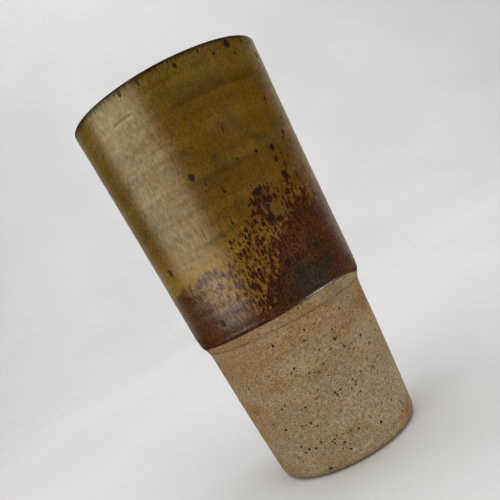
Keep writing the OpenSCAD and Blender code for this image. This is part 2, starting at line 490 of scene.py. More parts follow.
def make_base_disc():
    under = line([POLE_R, DISC_Z], [inside_r(DISC_Z) - SLIP_T, DISC_Z], 0.6 * MM)
    rows_r, rows_z = ring_rows(under)
    spiral = np.sin(2 * PI * rows_r / SPIRAL_PITCH - AZ_ROW)
    grain = np.sin(2 * PI * rows_r / GRAIN_PITCH + 2.3 * np.sin(AZ_ROW))
    tool = (0.10 * spiral + 0.03 * grain) * MM * smooth(rows_r, LEDGE_IN, LEDGE_IN - 3 * MM)
    rows_z = rows_z + tool * smooth(rows_r, 0, 4 * MM)
    over = line([inside_r(FLOOR_Z) - SLIP_T, FLOOR_Z], [POLE_R, FLOOR_Z], 6 * MM)
    blocks = [(rows_r, rows_z), ring_rows(over)]
    return turned("base_disc_clay", blocks, ["base_disc"], capped=True)


def make_foot_slip():
    outline = [
        [LEDGE_IN + 0.15 * MM, FOOT_RECESS],
        [inside_r(FOOT_RECESS), FOOT_RECESS],
        [inside_r(FLOOR_Z), FLOOR_Z],
        [inside_r(FLOOR_Z) - SLIP_T, FLOOR_Z],
        [inside_r(DISC_Z) - SLIP_T, DISC_Z],
    ]
    squeeze = LEDGE_IN - (0.25 + 0.2 * seam_wander(AZ + 2, 0)) * MM
    bead = level_rows([squeeze + 0.2 * MM, squeeze], [DISC_Z, DISC_Z - 0.22 * MM])
    return turned("foot_slip_bead", [ring_rows(outline), bead], ["foot_slip"])


# Glaze coats
def wall_point(share):
    return WALL_FOOT + (WALL_HEAD - WALL_FOOT) * share


def wall_rows(start, end, step):
    rows_r, rows_z = ring_rows(line(wall_point(start), wall_point(end), step))
    relief = glaze_relief(AZ_ROW, rows_z)
    normal = direction(OUT_ANGLE)
    return rows_r + relief * normal[0], rows_z + relief * normal[1]


def shoulder_rows(radius, angle):
    return SHOULDER_C[0] + radius * np.cos(angle), SHOULDER_C[1] + radius * np.sin(angle)


# Parts of the glazed wall, with close rows at the scratch: share of the wall at both ends, and step
WALL_PARTS = [(0.006, 0.88, 1.05 * MM), (0.8835, 0.925, 0.45 * MM), (0.93, 1, 0.9 * MM)]


def make_outer_glaze():
    start = EDGE_ANGLE + glaze_edge_shift(AZ)[None, :] / SHOULDER_R
    share = np.linspace(0, 1, 19)[:, None] ** 1.25
    angle = start + (OUT_ANGLE - start) * share
    radius = SHOULDER_R + GLAZE_T
    height = SHOULDER_C[1] + radius * np.sin(angle)
    radius = radius + glaze_relief(AZ_ROW, height)
    shoulder = shoulder_rows(radius, angle)
    # Rounded end of the coat where it stops on the clay
    coat = radius[:1] - SHOULDER_R
    bead_turn = np.linspace(-PI / 2, PI / 2, 9)[1:-1, None]
    bead_r = SHOULDER_R + coat / 2 + coat / 2 * np.sin(bead_turn)
    bead_angle = start - coat / 2 * np.cos(bead_turn) / SHOULDER_R
    bead = shoulder_rows(bead_r, bead_angle)
    walls = [wall_rows(*part) for part in WALL_PARTS]
    normal = direction(OUT_ANGLE)
    under = line(LIP_OUT_C + LIP_EDGE_R * normal, SHOULDER_C + SHOULDER_R * normal, 15 * MM)
    inner_angle = OUT_ANGLE + (start - OUT_ANGLE) * np.linspace(0.15, 1, 7)[:, None]
    foot = shoulder_rows(SHOULDER_R, inner_angle)
    blocks = [bead, shoulder, *walls, ring_rows(under), foot]
    return turned("outer_glaze_coat", blocks, ["outer_glaze"])


def make_lip_glaze():
    outer = np.linspace(OUT_ANGLE, PI / 2, 9)[:, None]
    inner = np.linspace(PI / 2, PI + IN_ANGLE, 11)[:, None]
    angle = np.concatenate([outer, np.full((4, 1), PI / 2), inner])
    flat = np.concatenate([np.zeros((9, 1)), np.linspace(0.2, 0.8, 4)[:, None], np.ones((11, 1))])
    centre_r = LIP_OUT_C[0] + (LIP_IN_C[0] - LIP_OUT_C[0]) * flat
    centre_z = LIP_OUT_C[1] + (LIP_IN_C[1] - LIP_OUT_C[1]) * flat
    radius = LIP_EDGE_R + (LIP_INNER_R - LIP_EDGE_R) * flat + GLAZE_T
    share = np.linspace(0, 1, len(angle))[:, None]
    head = glaze_relief(AZ_ROW, WALL_HEAD[1] + 0 * share)
    wave = 0.10 * MM * edge_wander(AZ_ROW + 1, 0) * np.sin(PI * share)
    radius = radius + head * (1 - smooth(share, 0, 0.5)) + wave
    crown = (centre_r + radius * np.cos(angle), centre_z + radius * np.sin(angle))
    under = np.concatenate([
        arc(LIP_IN_C, LIP_INNER_R, PI + IN_ANGLE, PI / 2, 10),
        arc(LIP_OUT_C, LIP_EDGE_R, PI / 2, OUT_ANGLE, 6),
    ])
    return turned("lip_glaze_coat", [crown, ring_rows(under)], ["lip_glaze"])


# Distance from its ends over which the unevenness of the inner coat fades out
LINER_FADE = 8 * MM


def inner_rows(coat, step, relief):
    lip = LIP_IN_C - (LIP_INNER_R + coat) * direction(IN_ANGLE)
    bend = arc(SHOULDER_C, HOLLOW_R - coat, IN_ANGLE, SEAM_IN_ANGLE, 12)
    seam = [SEAM_IN - coat, SEAM_Z]
    foot = [inside_r(POOL_RIM_Z) - coat, POOL_RIM_Z]
    path = np.concatenate([
        line(lip, bend[0], step),
        bend[1:],
        line(bend[-1], seam, step)[1:],
        line(seam, foot, step)[1:],
    ])
    rows_r, rows_z = ring_rows(path)
    if relief:
        ends = smooth(rows_z, POOL_RIM_Z, POOL_RIM_Z + LINER_FADE)
        ends = ends * smooth(rows_z, WALL_HEAD[1], WALL_HEAD[1] - LINER_FADE)
        rings = throwing_rings(AZ_ROW + 2, rows_z)
        dents = broad_dents(AZ_ROW, rows_z)
        rows_r = rows_r + ends * MM * (0.12 * rings + 0.12 * dents)
    return rows_r, rows_z


def make_liner_glaze():
    back_r, back_z = inner_rows(0, 14 * MM, False)
    face_r, face_z = inner_rows(GLAZE_T, 1.6 * MM, True)
    blocks = [(back_r[::-1], back_z[::-1]), (face_r, face_z)]
    return turned("liner_glaze_coat", blocks, ["liner_glaze"])


def make_floor_glaze():
    rim_in = inside_r(POOL_RIM_Z) - GLAZE_T
    bed = line([POLE_R, FLOOR_Z], [inside_r(FLOOR_Z), FLOOR_Z], 8 * MM)
    bed = np.concatenate([bed, [[inside_r(POOL_RIM_Z), POOL_RIM_Z]]])
    fillet = arc([rim_in - POOL_FILLET_R, POOL_RIM_Z], POOL_FILLET_R, 0, -PI / 2, 10)
    pool = line(fillet[-1], [POLE_R, POOL_Z], 1.2 * MM)[1:]
    pool_r, pool_z = ring_rows(pool)
    rings = np.sin(2 * PI * pool_r / (7 * MM) - AZ_ROW) * smooth(pool_r, 0, 6 * MM)
    pool_z = pool_z + 0.10 * MM * rings * smooth(pool_r, rim_in - POOL_FILLET_R, rim_in - 9 * MM)
    blocks = [ring_rows(bed), ring_rows(fillet), (pool_r, pool_z)]
    return turned("floor_glaze_pool", blocks, ["floor_glaze"], capped=True)


# Small domes of melted iron on the wall
def glazed_point(az, z, lift):
    share = (z - WALL_FOOT[1]) / (WALL_HEAD[1] - WALL_FOOT[1])
    r = WALL_FOOT[0] + (WALL_HEAD[0] - WALL_FOOT[0]) * share + glaze_relief(az, z)
    return to_space(r + lift, z, az)


def clay_point(az, z, lift):
    r = BASE_R + (SEAM_R - BASE_R) * z / SEAM_Z + clay_relief(az, z)
    return to_space(r + lift, z, az)


# Corners round a dome, the depth of its root, and the reach and rise of its rings
SPOKES = 20
DOME_ROOT = 0.35
DOME_RINGS = np.array([0.25, 0.48, 0.68, 0.84, 0.95, 1.0])
DOME_RISE = np.array([0.96, 0.86, 0.68, 0.44, 0.16, -DOME_ROOT])


def domes(name, spots, surface, nodes, seed, ragged):
    """One closed piece of domes: each spot is (angle, height, width, tallness, proud)."""
    draw = np.random.default_rng(seed)
    spoke = np.arange(SPOKES) * 2 * PI / SPOKES
    verts = []
    faces = []
    for az0, z0, wide, tall, proud in spots:
        outline = np.ones(SPOKES)
        for k in range(2, 6):
            depth = ragged * draw.uniform(0.3, 1) / k
            outline = outline + depth * np.cos(k * spoke + draw.uniform(0, 2 * PI))
        middle = surface(az0, z0, 0)
        round_r = math.hypot(middle[0], middle[1])
        across = DOME_RINGS[:, None] * outline * np.cos(spoke) * wide / 2 / round_r
        up = DOME_RINGS[:, None] * outline * np.sin(spoke) * tall / 2
        rings = surface(az0 + across, z0 + up, proud * DOME_RISE[:, None]).reshape(-1, 3)
        first = len(verts)
        verts.extend(rings.tolist())
        top = len(verts)
        verts.append(surface(az0, z0, proud).tolist())
        bottom = len(verts)
        verts.append(surface(az0, z0, -DOME_ROOT * proud).tolist())
        last = first + (len(DOME_RINGS) - 1) * SPOKES
        for j in range(SPOKES):
            n = (j + 1) % SPOKES
            faces.append((top, first + j, first + n))
            faces.append((bottom, last + n, last + j))
            for i in range(len(DOME_RINGS) - 1):
                a = first + i * SPOKES
                faces.append((a + j, a + SPOKES + j, a + SPOKES + n, a + n))
    return new_piece(name, verts, faces, nodes)


def cad_spots():
    """Angle, height and diameter of each iron spot of the frame."""
    work = bmesh.new()
    work.from_mesh(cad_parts["iron_spots"].data)
    bmesh.ops.remove_doubles(work, verts=work.verts, dist=0.01 * MM)
    found = []
    seen = set()
    for vert in work.verts:
        if vert in seen:
            continue
        island = [vert]
        seen.add(vert)
        for member in island:
            for edge in member.link_edges:
                other = edge.other_vert(member)
                if other not in seen:
                    seen.add(other)
                    island.append(other)
        points = np.array([member.co for member in island])
        low = points.min(axis=0)
        high = points.max(axis=0)
        middle = (low + high) / 2
        found.append((math.atan2(middle[0], -middle[1]), middle[2], high[2] - low[2]))
    work.free()
    return sorted(found)


# Small runs and specks in the glaze: degrees round, height, width and tallness in millimetres
GLAZE_SPECKS = [
    (-21, 276, 2.5, 4.6), (-10, 276, 2.0, 4.4), (10, 274, 1.8, 4.6), (24, 276.5, 1.1, 4.5),
    (56, 276, 1.8, 3.6), (17, 227.5, 1.1, 5.0), (16.5, 232, 0.8, 2.5), (-4, 203, 1.2, 4.2),
    (29, 206.5, 2.0, 2.8), (45, 199, 2.2, 1.7), (44, 193.5, 2.6, 1.2), (7, 214.5, 0.8, 2.2),
    (17, 207.5, 1.5, 1.6), (-52, 252.5, 1.4, 1.6), (-4, 269, 1.0, 1.4), (1.5, 162.5, 1.7, 2.4),
    (-8, 160.5, 1.6, 2.0), (-1, 174, 1.4, 3.8), (-18, 176, 0.6, 8.0), (17, 184, 2.4, 2.6),
    (16, 178.5, 3.4, 3.0), (20.5, 173, 3.2, 3.0), (24.5, 181.5, 2.2, 2.4), (23.5, 185.5, 1.1, 2.6),
    (22, 177, 2.6, 2.6), (11.5, 179, 2.6, 1.8), (10, 168.5, 2.2, 3.4), (35, 175, 2.0, 3.6),
    (67, 275.5, 2.4, 3.4), (52, 232.5, 1.0, 2.4), (53, 208, 1.4, 2.4), (2.5, 195, 0.9, 4.4),
]

# Iron specks in the bare clay: degrees round, height and diameter in millimetres
CLAY_SPECKS = [
    (-15, 94, 2.3), (7, 94, 1.6), (4, 88, 1.6), (22, 79, 2.6), (26, 71.5, 2.0), (42, 71, 2.3),
    (47, 63, 2.0), (-10, 75, 1.7), (-13, 73, 1.4), (-3, 68, 1.5), (3, 66, 1.5), (8, 69, 1.4),
    (6, 73, 1.1), (-32, 53, 1.7), (-16, 49, 1.7), (-19, 49, 1.0), (-18, 38, 1.8), (-15, 34.5, 1.5),
    (-38, 39, 2.1), (-46, 45, 1.3), (-29, 22, 1.9), (-24, 21, 1.9), (-33, 20, 1.6), (-41, 18, 1.6),
    (-4, 17.5, 1.9), (-2, 11.5, 1.7), (-1, 15, 1.2), (-22, 5, 2.3), (-9, 22, 1.6), (-6, 23.5, 1.2),
    (-10, 19.5, 1.2), (-7, 14, 1.1), (-28, 77, 1.2), (-48, 70, 1.3), (6, 49, 1.5), (10, 49, 1.5),
    (40, 49, 1.8), (22, 48, 1.3), (22, 41, 1.5), (9, 21, 1.7), (26, 16, 2.3), (52, 17, 1.9),
    (38, 56, 1.3), (42, 51, 1.2), (49, 52, 1.2), (7, 61, 1.0), (7, 57, 1.0), (4, 37, 1.1),
]

# Degrees round of the sides and back
SCATTER_FROM = 62
SCATTER_TO = 302


def scattered(seed, count, low, high, small, large):
    """Specks at random places: degrees round, height and diameter in millimetres."""
    draw = np.random.default_rng(seed)
    turns = draw.uniform(SCATTER_FROM, SCATTER_TO, count)
    heights = draw.uniform(low, high, count)
    sizes = small + (large - small) * draw.uniform(0, 1, count) ** 2
    return list(zip(turns, heights, sizes))


# Materials
def rgb(red, green, blue):
    """Linear colour from the 0 to 255 values that a picture shows."""
    values = []
    for level in (red, green, blue):
        level = level / 255
        values.append(level / 12.92 if level <= 0.04045 else ((level + 0.055) / 1.055) ** 2.4)
    return (*values, 1)


class Shader:
    """Node tree of one material, with a short call for each kind of node that is used."""

    def __init__(self, name):
        self.material = bpy.data.materials.new(name)
        self.material.use_nodes = True
        self.tree = self.material.node_tree
        self.surface = self.tree.nodes["Principled BSDF"]
        self.place = self.node("ShaderNodeTexCoord").outputs["Object"]

    def put(self, socket, value):
        if isinstance(value, bpy.types.NodeSocket):
            self.tree.links.new(value, socket)
        else:
            socket.default_value = value

    def node(self, kind, *values, **settings):
        node = self.tree.nodes.new(kind)
        for key, value in settings.items():
            setattr(node, key, value)
        for socket, value in zip(node.inputs, values):
            if value is not None:
                self.put(socket, value)
        return node

    def math(self, operation, a, b=None):
        return self.node("ShaderNodeMath", a, b, operation=operation).outputs[0]

    def add(self, a, b):
        return self.math("ADD", a, b)

    def times(self, a, b):
        return self.math("MULTIPLY", a, b)

    def stretched(self, x, y, z):
        return self.node("ShaderNodeVectorMath", self.place, (x, y, z), operation="MULTIPLY").outputs[0]

    def noise(self, scale, detail=2, rough=0.5, across=1, up=1):
        """Noise that is stretched across and up by the inverse of these factors."""
        place = self.place if across == up else self.stretched(across, across, up)
        return self.node("ShaderNodeTexNoise", place, None, scale, detail, rough).outputs[0]

    def cells(self, scale, place=None):
        """Distance from the middle of the nearest cell, and a number drawn for that cell."""
        node = self.node("ShaderNodeTexVoronoi", place or self.place, None, scale)
        drawn = self.node("ShaderNodeSeparateColor", node.outputs["Color"])
        return node.outputs["Distance"], drawn.outputs[0]

    def ramp(self, value, start, end, low=0.0, high=1.0):
        node = self.node("ShaderNodeMapRange", value, start, end, low, high)
        node.interpolation_type = "SMOOTHSTEP"
        return node.outputs[0]

    def blend(self, share, under, over):
        node = self.node("ShaderNodeMix", data_type="RGBA")
        self.put(node.inputs[0], share)
        self.put(node.inputs[6], under)
        self.put(node.inputs[7], over)
        return node.outputs[2]

    def shade(self, colour, value):
        """Colour made lighter or darker by a factor."""
        return self.node("ShaderNodeVectorMath", colour, None, None, value, operation="SCALE").outputs[0]

    def field(self, name):
        return self.node("ShaderNodeAttribute", attribute_name=name).outputs["Fac"]

    def finish(self, colour, rough, height, distance, level=0.5):
        surface = self.surface.inputs
        self.put(surface["Base Color"], colour)
        self.put(surface["Roughness"], rough)
        self.put(surface["Specular IOR Level"], level)
        bump = self.node("ShaderNodeBump")
        bump.inputs["Distance"].default_value = distance
        self.put(bump.inputs["Height"], height)
        self.put(surface["Normal"], bump.outputs[0])
        return self.material


def swing(shader, value, reach):
    """Factor that moves round 1 by reach as a noise goes from 0 to 1."""
    return shader.node("ShaderNodeMapRange", value, 0.0, 1.0, 1 - reach, 1 + reach).outputs[0]


OLIVE = rgb(105, 76, 5)
OLIVE_GREEN = rgb(106, 83, 19)
OLIVE_AMBER = rgb(108, 77, 5)
MUSTARD = rgb(144, 111, 14)
OLIVE_SHADE = rgb(80, 66, 16)
AMBER = rgb(118, 91, 17)
RUST = rgb(116, 62, 9)
RUST_DARK = rgb(46, 19, 4)
TENMOKU = rgb(50, 34, 12)
IRON = rgb(34, 26, 20)
IRON_BROWN = rgb(52, 34, 22)
LIP_DARK = rgb(30, 24, 16)
LIP_WORN = rgb(74, 58, 34)
INNER_OLIVE = rgb(98, 78, 28)
INNER_BROWN = rgb(78, 58, 18)
CLAY = rgb(164, 144, 106)
CLAY_PALE = rgb(178, 161, 125)
CLAY_WARM = rgb(156, 118, 66)
CLAY_DARK = rgb(92, 70, 42)
CLAY_IRON = rgb(58, 44, 28)
SLIP_DARK = rgb(112, 86, 54)
SLIP_PALE = rgb(160, 134, 92)

# Depths of the bump, and levels of reflection
GLAZE_BUMP = 0.16 * MM
CLAY_BUMP = 0.12 * MM
STAGE_BUMP = 0.1 * MM
SLIP_BUMP = 0.08 * MM
FINE_BUMP = 0.05 * MM
CLAY_GLOSS = 0.3
DULL_GLOSS = 0.2


def blobs(s, scale, tall, cover):
    """How far inside a rounded speck each place is, where cover says how many there are."""
    drift = s.node("ShaderNodeTexNoise", s.place, None, 0.7 * scale, 2).outputs["Color"]
    drift = s.node("ShaderNodeVectorMath", drift, (0.9 / scale,) * 3, operation="MULTIPLY").outputs[0]
    place = s.node("ShaderNodeVectorMath", s.stretched(1, 1, tall), drift, operation="ADD").outputs[0]
    near, chance = s.cells(scale, place)
    grow = s.math("SUBTRACT", s.times(cover, 1.3), chance)
    return s.math("SUBTRACT", s.ramp(grow, -0.06, 0.5, -0.08, 0.62), near)


def outer_glaze_material():
    s = Shader("olive_glaze")
    broad = s.noise(26, 3, 0.5, up=0.5)
    rings = s.noise(170, 3, 0.55, across=0.05)
    streaks = s.noise(750, 2, 0.5, up=0.08)
    grain = s.noise(1000, 3, 0.6, up=0.6)
    colour = s.blend(s.ramp(broad, 0.38, 0.62), OLIVE, OLIVE_AMBER)
    colour = s.blend(s.ramp(rings, 0.48, 0.72, 0.0, 0.8), colour, OLIVE_GREEN)
    colour = s.blend(s.field("green"), colour, OLIVE_GREEN)
    colour = s.blend(s.field("mustard"), colour, MUSTARD)
    clouds = s.noise(48, 3, 0.55, up=1.4)
    colour = s.blend(s.ramp(clouds, 0.5, 0.72, 0.0, 0.7), colour, OLIVE_SHADE)
    tone = s.times(swing(s, rings, 0.38), swing(s, streaks, 0.30))
    tone = s.times(tone, swing(s, grain, 0.6))
    tone = s.times(tone, swing(s, s.noise(330, 3, 0.6, up=0.7), 0.35))
    # The band field holds the tone bands, the darkened scratch and a painted highlight along the scratch's
    # lower edge
    tone = s.times(tone, s.add(s.field("band"), 1.0))
    colour = s.shade(colour, tone)
    # Iron that broke through as specks, closer together lower down
    cover = s.field("cover")
    ragged = s.times(s.add(s.noise(1050, 3, 0.65, up=0.55), -0.5), 0.6)
    streak = s.times(s.add(s.noise(560, 4, 0.62, up=0.42), -0.5), 1.7)
    streak = s.add(streak, s.times(s.add(cover, -0.6), 0.9))
    depth = s.math("MAXIMUM", blobs(s, 430, 0.5, s.times(cover, 0.84)), streak)
    depth = s.add(s.add(depth, ragged), s.ramp(cover, 0.66, 0.98, 0.0, 0.6))
    body = s.ramp(s.noise(1000, 3, 0.7, up=0.7), 0.42, 0.63)
    dark = s.blend(s.times(body, s.ramp(cover, 0.55, 0.95, 0.12, 1.0)), RUST_DARK, RUST)
    murk = s.add(s.field("murk"), s.ramp(s.noise(70, 2), 0.5, 0.7, 0, 0.35))
    dark = s.blend(murk, dark, s.shade(TENMOKU[:3], s.add(s.times(body, 0.9), 0.55)))
    colour = s.blend(s.ramp(cover, 0.3, 0.9, 0.0, 0.45), colour, AMBER)
    threads = s.add(s.noise(950, 3, 0.6, up=0.3), s.times(cover, 0.28))
    colour = s.blend(s.times(s.ramp(threads, 0.6, 0.76, 0, 0.5), s.ramp(cover, 0.15, 0.5)), colour, RUST)
    colour = s.blend(s.ramp(depth, -0.07, 0.04), colour, RUST)
    colour = s.blend(s.ramp(depth, 0.0, 0.14), colour, dark)
    # Dark rim that runs down a little in fine ticks
    runs = s.noise(1000, 3, 0.75, up=0.01)
    reach = s.ramp(runs, 0.34, 0.70, 3.0, 9.0)
    rim = s.math("SUBTRACT", 1.0, s.math("DIVIDE", s.field("below_lip"), reach))
    rim = s.ramp(rim, 0.0, 0.75, 0, 0.88)
    colour = s.blend(rim, colour, LIP_DARK)
    rough = s.ramp(grain, 0.3, 0.7, 0.22, 0.38)
    mottle = s.ramp(s.noise(480, 3, 0.65, up=0.5), 0.3, 0.7, 0.34, 0.66)
    gloss = s.times(mottle, s.add(s.times(s.field("band"), 1.2), 1.0))
    hoops = s.noise(430, 2, 0.5, across=0.04)
    gloss = s.times(gloss, s.times(swing(s, rings, 0.45), swing(s, hoops, 0.35)))
    gloss = s.times(gloss, s.math("SUBTRACT", 1.0, s.times(rim, 0.85)))
    height = s.add(s.times(grain, 0.5), s.times(streaks, 0.35))
    return s.finish(colour, rough, height, GLAZE_BUMP, gloss)


def lip_material():
    s = Shader("lip_glaze")
    grain = s.noise(1100, 3, 0.6)
    wear = s.noise(90, 3, 0.55)
    colour = s.blend(s.ramp(wear, 0.45, 0.7), LIP_DARK, LIP_WORN)
    colour = s.shade(colour, swing(s, grain, 0.4))
    rough = s.ramp(grain, 0.3, 0.7, 0.3, 0.42)
    return s.finish(colour, rough, grain, FINE_BUMP)


def inner_glaze_material():
    s = Shader("inner_glaze")
    rings = s.noise(130, 3, 0.55, across=0.06)
    broad = s.noise(30, 3, 0.5)
    grain = s.noise(1400, 2, 0.6)
    colour = s.blend(s.ramp(broad, 0.38, 0.64), INNER_OLIVE, INNER_BROWN)
    colour = s.blend(s.ramp(s.noise(520, 4, 0.6), 0.6, 0.66), colour, RUST_DARK)
    tone = s.times(swing(s, rings, 0.3), swing(s, grain, 0.25))
    rough = s.ramp(grain, 0.3, 0.7, 0.24, 0.32)
    return s.finish(s.shade(colour, tone), rough, grain, FINE_BUMP)


def iron_material():
    s = Shader("iron")
    grain = s.noise(1300, 3, 0.6)
    colour = s.blend(s.ramp(grain, 0.4, 0.68), IRON, IRON_BROWN)
    rough = s.ramp(grain, 0.3, 0.7, 0.38, 0.5)
    return s.finish(colour, rough, grain, FINE_BUMP, DULL_GLOSS)


def clay_material():
    s = Shader("stoneware")
    broad = s.noise(18, 3, 0.55, up=1.6)
    grain = s.noise(820, 3, 0.7)
    sand = s.noise(420, 3, 0.6)
    colour = s.blend(s.ramp(broad, 0.35, 0.65), CLAY, CLAY_PALE)
    warm = s.ramp(s.noise(30, 3, 0.55, up=2.2), 0.52, 0.74, 0, 0.6)
    colour = s.blend(s.add(warm, s.field("flash")), colour, CLAY_WARM)
    tone = s.times(swing(s, grain, 1.0), swing(s, sand, 0.6))
    # Painted shade on the front and right under the glazed shoulder, and the clay's own darker and paler
    # parts
    tone = s.times(tone, s.add(s.field("clay_tone_and_painted_shade"), 1.0))
    colour = s.shade(colour, tone)
    near, chance = s.cells(1050)
    size = s.ramp(chance, 0.2, 1.0, 0.0, 0.42)
    speck = s.ramp(s.math("SUBTRACT", size, near), -0.06, 0.06)
    colour = s.blend(s.times(speck, 0.9), colour, CLAY_DARK)
    near, chance = s.cells(300)
    wide_size = s.ramp(chance, 0.68, 1.0, 0.0, 0.27)
    wide_speck = s.ramp(s.math("SUBTRACT", wide_size, near), -0.03, 0.03)
    colour = s.blend(s.times(wide_speck, 0.85), colour, CLAY_IRON)
    rough = s.ramp(grain, 0.3, 0.7, 0.78, 0.92)
    height = s.add(s.times(grain, 0.6), sand)
    return s.finish(colour, rough, height, CLAY_BUMP, CLAY_GLOSS)


def slip_material():
    s = Shader("slip")
    grain = s.noise(1200, 3, 0.6)
    colour = s.blend(s.ramp(s.noise(60, 3), 0.4, 0.65), SLIP_DARK, SLIP_PALE)
    rough = s.ramp(grain, 0.3, 0.7, 0.75, 0.9)
    colour = s.shade(colour, swing(s, grain, 0.4))
    return s.finish(colour, rough, grain, SLIP_BUMP, CLAY_GLOSS)


# Iron specks going down the wall: degrees round, then the heights in millimetres at which
# the first ones show, at which they cover about half, and at which they run together
RUST_LINE = [
    (-75, 151, 145, 134), (-60, 152, 148, 137), (-50, 155, 150, 135), (-42, 158, 151, 108),
    (-30, 159, 151, 66), (-18, 161, 151, 60), (-8, 172, 153, 58), (0, 188, 158, 80),
    (10, 198, 169, 108), (20, 197, 174, 138), (30, 198, 174, 148), (40, 203, 174, 151),
    (50, 211, 173, 144), (60, 224, 171, 140), (75, 238, 177, 139), (105, 224, 204, 168),
    (135, 205, 182, 150), (165, 180, 156, 128), (195, 165, 140, 116), (225, 172, 148, 120),
    (255, 178, 158, 130), (272, 164, 146, 126),
]
COVER_FIRST = 0.09
COVER_HALF = 0.55
COVER_FULL = 0.97
RUST_WANDER = 3 * DEG
FIRST_FADE = 5 * MM
EDGE_COVER = 0.8
FRINGE_COVER = 0.75

# Clusters of specks, or clean patches: degrees round, height, half width, half height, cover
RUST_PATCHES = [
    (18, 179, 9, 6, 0.3), (24, 168, 7, 5, -0.34), (-54, 165, 3.5, 4, 0.5), (10, 170, 8, 4, 0.1),
    (-28, 152, 5, 3, 0.4), (52, 204, 8, 5, 0.15), (40, 174, 10, 5, 0.04), (-58, 122, 9, 26, 0.4),
    (-22, 140, 8, 8, -0.08), (2, 141, 6, 10, -0.05), (50, 274, 13, 4, 0.32),
    (-6, 124, 8, 12, -0.13), (10, 146, 6, 14, -0.08), (20, 158, 7, 9, -0.12), (6, 122, 7, 10, 0.07),
    (68, 205, 10, 22, 0.18),
]

# Tone bands of the clean glaze: degrees round, height, half width, half height, strength
TONE_BANDS = [
    (-8, 171, 16, 2.2, -0.34), (4, 172, 9, 1.2, -0.22), (-30, 170, 16, 2, -0.14),
    (5, 206, 40, 1.8, -0.14), (-10, 199, 34, 1.6, -0.04), (-8, 190, 22, 1.4, -0.12),
    (30, 254, 26, 4, -0.3), (14, 262, 16, 3, -0.1), (-40, 268, 55, 9, 0.14), (26, 250, 22, 0.9, 0.24),
    (12, 258, 6, 1.2, 0.3), (10, 240, 36, 1.6, 0.1), (-28, 230, 22, 10, -0.08),
    (-30, 196, 18, 6, 0.06), (-26, 157, 16, 6, -0.15),
    (-56, 226, 14, 10, -0.15), (0, 158, 26, 1.2, 0.1), (-68, 156, 14, 1.2, 0.25),
]


def patches(az, z, rows):
    total = 0
    for turn, height, wide, tall, strength in rows:
        across = bump_at(turn_gap(az, turn * DEG), 0, wide * DEG)
        total = total + strength * across * bump_at(z, height * MM, tall * MM)
    return total


def cover_field(az, z, spots):
    """Share of the glaze that the specks cover, with a fringe round each iron spot."""
    wandered = az + RUST_WANDER * rust_wander(az, z)
    first, half, full = (around(RUST_LINE, column)(wandered) * MM for column in (1, 2, 3))
    upper = COVER_FIRST + (COVER_HALF - COVER_FIRST) * np.clip((first - z) / (first - half), 0, 1)
    lower = (COVER_FULL - COVER_HALF) * np.clip((half - z) / (half - full), 0, 1)
    above = smooth(z, first + FIRST_FADE, first)
    edge_z = EDGE_Z + glaze_edge_shift(az)
    edge = smooth(z, edge_z + 6.5 * MM, edge_z + 1.5 * MM)
    fringes = []
    for turn, height, size in spots:
        wide = 0.62 * size / RIM_R / DEG
        fringes.append((turn / DEG, height / MM, wide, 0.7 * size / MM, FRINGE_COVER))
    cover = (upper + lower) * above + patches(az, z, RUST_PATCHES) + patches(az, z, fringes)
    cover = cover + EDGE_COVER * edge
    return np.clip(cover, 0.0005, 0.9995)


# Thick dark iron, greenish brown: degrees round, height, half width, half height, share
MURK_PATCHES = [
    (22, 120, 19, 14, 0.95), (42, 126, 12, 10, 0.4), (-28, 114, 12, 7, 0.5),
    (130, 132, 26, 16, 0.8), (238, 124, 22, 12, 0.7),
]


def murk_field(az, z):
    return np.clip(patches(az, z, MURK_PATCHES), 0, 1)


def green_field(az, z):
    left = smooth(turn_gap(az, -48 * DEG), 58 * DEG, 4 * DEG) * smooth(z, 170 * MM, 235 * MM)
    return np.clip(0.85 * smooth(z, 246 * MM, 264 * MM) + 0.4 * left, 0, 1)


def mustard_field(az, z):
    turn = turn_gap(az, -8 * DEG)
    return 0.9 * smooth(z, 190 * MM, 146 * MM) * smooth(np.abs(turn), 95 * DEG, 40 * DEG)


# Warm flashing of the bare clay: degrees round, height, half width, half height, strength
FLASHES = [
    (-25, 68, 13, 4, 0.55), (8, 66, 6, 4, 0.35), (-54, 46, 12, 8, 0.4), (65, 86, 12, 10, 0.55),
    (12, 93, 9, 3, 0.35), (-50, 90, 26, 10, 0.35), (60, 11, 10, 6, 0.5), (-45, 72, 20, 20, 0.2),
    (35, 88, 14, 4, 0.2), (50, 92, 26, 14, 0.3), (150, 60, 30, 12, 0.4), (210, 80, 24, 9, 0.4),
    (260, 30, 22, 12, 0.3), (110, 30, 20, 8, 0.3), (185, 20, 26, 6, 0.35),
]

# Darker or paler parts of the bare clay, painted shade on the front and right, darkest just under the
# glazed shoulder, and the clay's own tone elsewhere: degrees round, height, half width, half height,
# strength
CLAY_TONE_AND_PAINTED_SHADE = [
    (42, 104, 18, 6, -0.24), (46, 88, 20, 9, -0.16), (5, 56, 15, 9, -0.14), (0, 86, 14, 7, -0.06),
    (-46, 90, 16, 8, 0.08), (62, 50, 10, 14, -0.06), (30, 70, 14, 7, -0.08), (150, 84, 30, 12, -0.16),
    (215, 40, 26, 14, -0.12), (280, 88, 22, 10, -0.12),
]


def flash_field(az, z):
    band = smooth(z, UPPER_Z - 2 * MM, UPPER_Z + 1 * MM)
    left = 0.5 - 0.5 * np.sin(az)
    upper = smooth(z, 30 * MM, SEAM_Z)
    field = patches(az, z, FLASHES) + band * (0.5 * left ** 2 - 0.05) + 0.22 * upper + 0.2 * left
    return np.clip(field, 0, 1)


